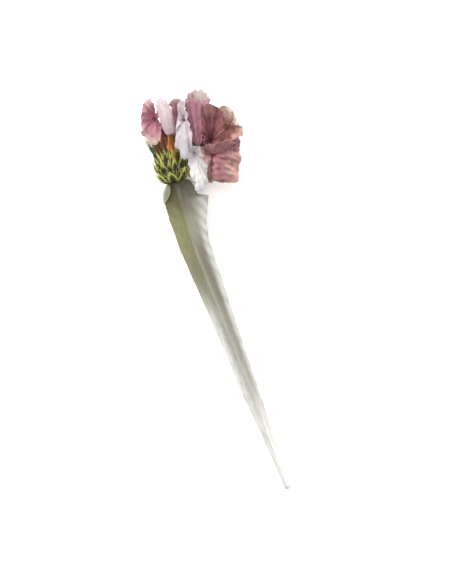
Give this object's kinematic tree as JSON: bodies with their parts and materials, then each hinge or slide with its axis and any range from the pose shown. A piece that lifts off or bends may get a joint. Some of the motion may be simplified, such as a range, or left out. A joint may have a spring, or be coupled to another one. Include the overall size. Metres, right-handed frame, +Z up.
{
  "type": "preserved statice sprig",
  "caption": "Dried statice sprig lying down: a broad winged stem, a cup of pointed bracts and an arched head of papery pleated calyces.",
  "frame": {"origin": "centre of the footprint, on the surface that the sprig lies on", "axes": "+Y along the stem from its cut end to the flower head, +Z up, +X to the side that the head arches over to"},
  "size_m": [0.0208, 0.0874, 0.0183],
  "materials": {
    "stem": "dry, matt, with a crackle of dark veins",
    "scale_leaf": "thin, membranous",
    "bract": "dry leaf with pale papery edges",
    "inner_bract": "dry leaf, brown at the tip and golden below",
    "mauve_calyx": "thin, papery, translucent",
    "pale_pink_calyx": "thin, papery, translucent",
    "white_calyx": "thin, papery, translucent",
    "dusty_pink_calyx": "thin, papery, translucent",
    "rose_calyx": "thin, papery, translucent"
  },
  "bodies": {
    "root": {"axis_bract_1": "bract", "axis_bract_2": "bract", "axis_bract_3": "bract", "axis_bract_4": "bract", "axis_bract_5": "bract", "axis_bract_6": "bract", "axis_bract_7": "bract", "axis_bract_8": "bract", "calyx_1": "mauve_calyx", "calyx_2": "pale_pink_calyx", "calyx_3": "white_calyx", "calyx_4": "rose_calyx", "calyx_5": "rose_calyx", "calyx_6": "rose_calyx", "calyx_7": "rose_calyx", "calyx_8": "dusty_pink_calyx", "calyx_9": "rose_calyx", "calyx_10": "white_calyx", "calyx_11": "rose_calyx", "calyx_12": "rose_calyx", "calyx_13": "rose_calyx", "calyx_14": "rose_calyx", "calyx_15": "rose_calyx", "calyx_16": "rose_calyx", "calyx_17": "rose_calyx", "calyx_18": "rose_calyx", "inner_bract_1": "inner_bract", "inner_bract_2": "inner_bract", "inner_bract_3": "inner_bract", "inner_bract_4": "inner_bract", "inner_bract_5": "inner_bract", "inner_bract_6": "inner_bract", "middle_bract_1": "bract", "middle_bract_2": "bract", "middle_bract_3": "bract", "middle_bract_4": "bract", "middle_bract_5": "bract", "middle_bract_6": "bract", "middle_bract_7": "bract", "outer_bract_1": "bract", "outer_bract_2": "bract", "outer_bract_3": "bract", "outer_bract_4": "bract", "outer_bract_5": "bract", "outer_bract_6": "bract", "outer_bract_7": "bract", "rim_bract_1": "bract", "rim_bract_2": "bract", "rim_bract_3": "bract", "rim_bract_4": "bract", "rim_bract_5": "bract", "rim_bract_6": "bract", "scale_leaf": "scale_leaf", "winged_stem": "stem"}
  },
  "joints": []
}
